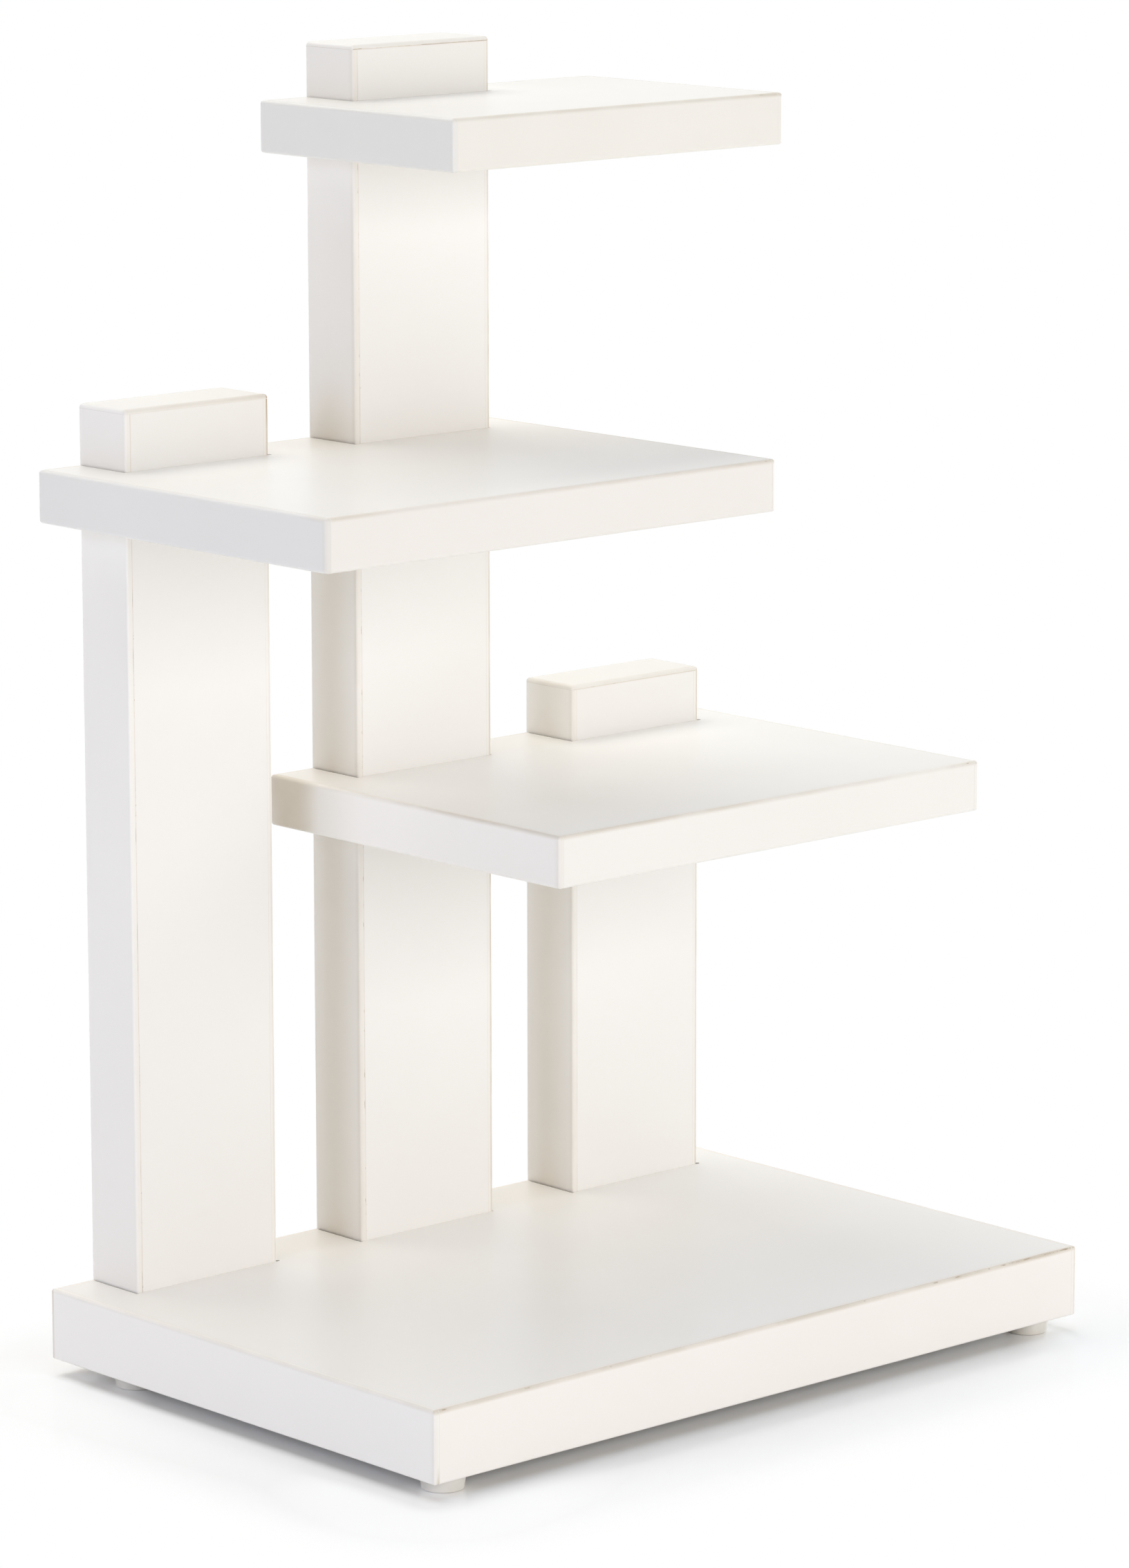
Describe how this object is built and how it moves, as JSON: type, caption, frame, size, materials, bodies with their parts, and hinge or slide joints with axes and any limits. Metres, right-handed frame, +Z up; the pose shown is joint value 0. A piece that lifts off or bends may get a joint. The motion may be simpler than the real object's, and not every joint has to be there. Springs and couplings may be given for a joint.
{
  "type": "countertop tiered display",
  "caption": "White tiered countertop display: flat posts in a row along the back of a footed base board carry staggered shelves at rising heights.",
  "frame": {"origin": "on the ground plane under the middle of the base board, level with the soles of the feet", "axes": "+Z up along the posts, +X to the right along the long front edge, +Y from the front edge to the row of posts at the back"},
  "size_m": [0.3, 0.2, 0.4515],
  "materials": {
    "faced_board": "white melamine-faced chipboard, satin",
    "edge_band": "warm white plastic edge band, satin",
    "dowel": "raw beech",
    "foot": "off-white moulded plastic"
  },
  "bodies": {
    "root": {"base_back_edge_band_1": "edge_band", "base_back_edge_band_2": "edge_band", "base_back_edge_band_3": "edge_band", "base_back_edge_band_4": "edge_band", "base_centre_post_left_dowel": "dowel", "base_centre_post_right_dowel": "dowel", "base_front_edge_band": "edge_band", "base_left_edge_band": "edge_band", "base_left_post_left_dowel": "dowel", "base_left_post_right_dowel": "dowel", "base_panel": "faced_board", "base_right_edge_band": "edge_band", "base_right_post_left_dowel": "dowel", "base_right_post_right_dowel": "dowel", "centre_post_left_edge_band": "edge_band", "centre_post_panel": "faced_board", "centre_post_right_edge_band": "edge_band", "centre_post_top_edge_band": "edge_band", "foot_back_left": "foot", "foot_back_right": "foot", "foot_front_left": "foot", "foot_front_right": "foot", "left_post_left_edge_band": "edge_band", "left_post_panel": "faced_board", "left_post_right_edge_band": "edge_band", "left_post_top_edge_band": "edge_band", "lower_shelf_back_edge_band_1": "edge_band", "lower_shelf_back_edge_band_2": "edge_band", "lower_shelf_back_edge_band_3": "edge_band", "lower_shelf_centre_post_left_dowel": "dowel", "lower_shelf_centre_post_right_dowel": "dowel", "lower_shelf_front_edge_band": "edge_band", "lower_shelf_left_edge_band": "edge_band", "lower_shelf_panel": "faced_board", "lower_shelf_right_edge_band": "edge_band", "lower_shelf_right_post_left_dowel": "dowel", "lower_shelf_right_post_right_dowel": "dowel", "middle_shelf_back_edge_band_1": "edge_band", "middle_shelf_back_edge_band_2": "edge_band", "middle_shelf_back_edge_band_3": "edge_band", "middle_shelf_centre_post_left_dowel": "dowel", "middle_shelf_centre_post_right_dowel": "dowel", "middle_shelf_front_edge_band": "edge_band", "middle_shelf_left_edge_band": "edge_band", "middle_shelf_left_post_left_dowel": "dowel", "middle_shelf_left_post_right_dowel": "dowel", "middle_shelf_panel": "faced_board", "middle_shelf_right_edge_band": "edge_band", "right_post_left_edge_band": "edge_band", "right_post_panel": "faced_board", "right_post_right_edge_band": "edge_band", "right_post_top_edge_band": "edge_band", "top_shelf_back_edge_band_1": "edge_band", "top_shelf_back_edge_band_2": "edge_band", "top_shelf_centre_post_left_dowel": "dowel", "top_shelf_centre_post_right_dowel": "dowel", "top_shelf_front_edge_band": "edge_band", "top_shelf_left_edge_band": "edge_band", "top_shelf_panel": "faced_board", "top_shelf_right_edge_band": "edge_band"}
  },
  "joints": []
}
